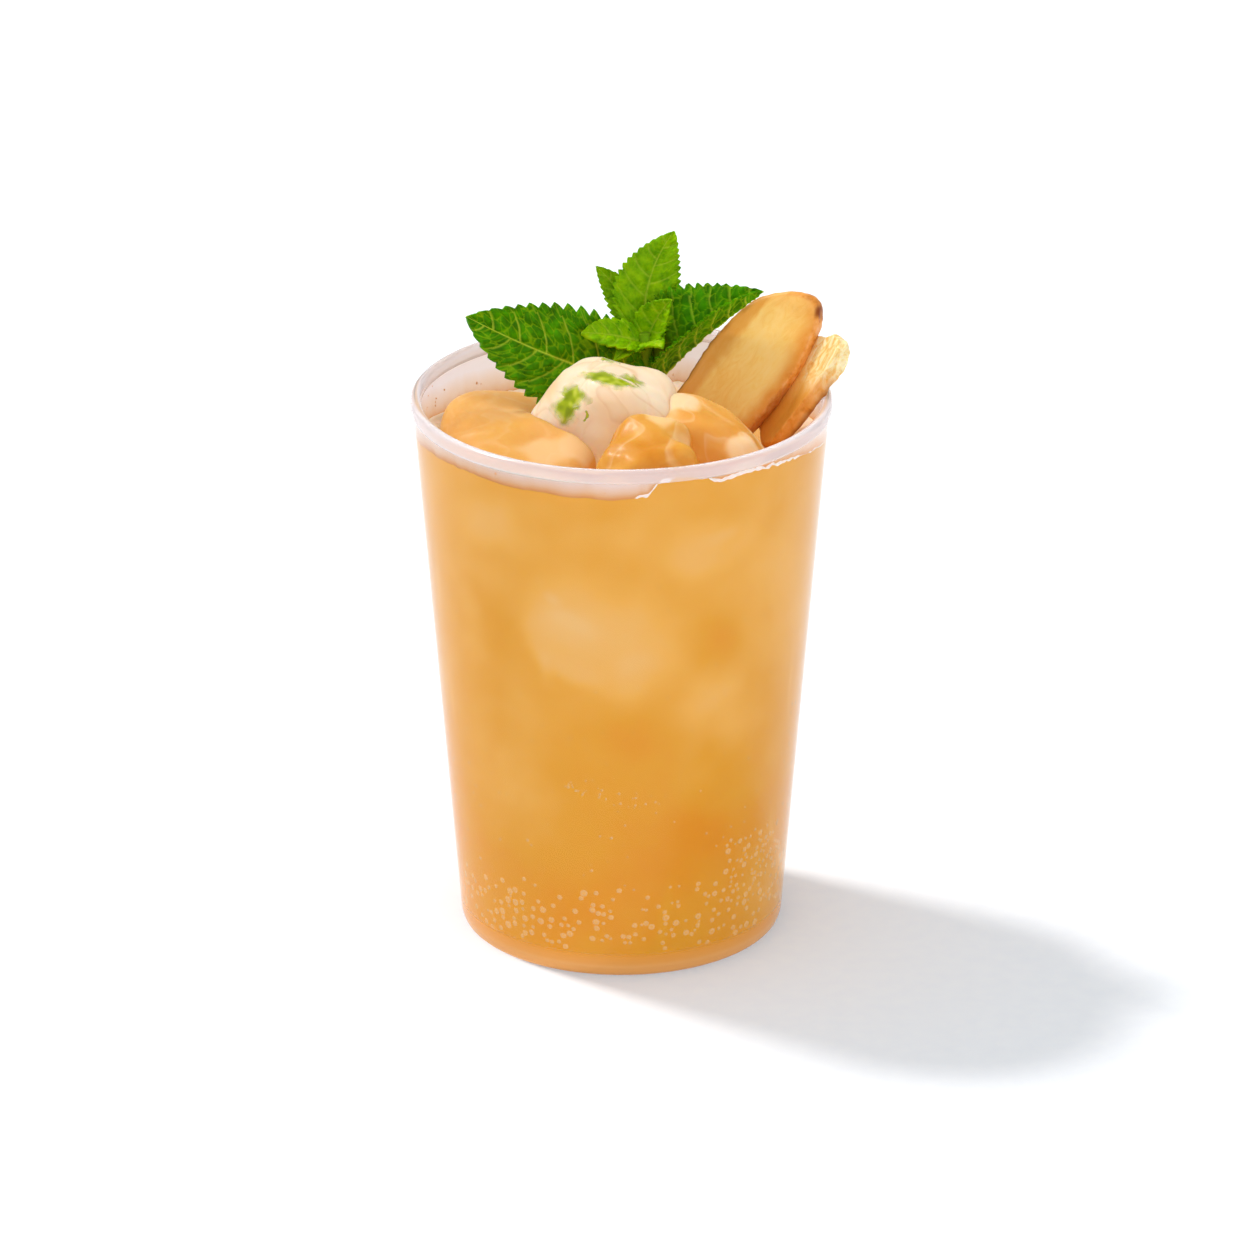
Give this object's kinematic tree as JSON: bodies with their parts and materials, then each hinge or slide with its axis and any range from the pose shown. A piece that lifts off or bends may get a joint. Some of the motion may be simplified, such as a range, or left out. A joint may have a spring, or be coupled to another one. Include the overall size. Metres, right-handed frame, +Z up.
{
  "type": "iced ginger drink",
  "caption": "Iced ginger drink in a clear flared plastic cup, with lumps of ice, a mint sprig and slices of ginger standing out of the top.",
  "frame": {"origin": "on the cup's axis, where its foot stands on the table", "axes": "+Z up the cup's axis, -Y towards the viewer of the picture's side, +X to that viewer's right"},
  "size_m": [0.0916, 0.09, 0.1515],
  "materials": {
    "clear_plastic": "gloss",
    "drink": "gloss",
    "ice": "gloss",
    "ginger": "satin",
    "mint": "satin"
  },
  "bodies": {
    "root": {"cup": "clear_plastic", "drink": "drink", "ice_centre": "ice", "ice_left": "ice", "ice_right": "ice", "ice_front": "ice", "ginger_slice_front": "ginger", "ginger_slice_back": "ginger", "mint_sprig": "mint"}
  },
  "joints": []
}
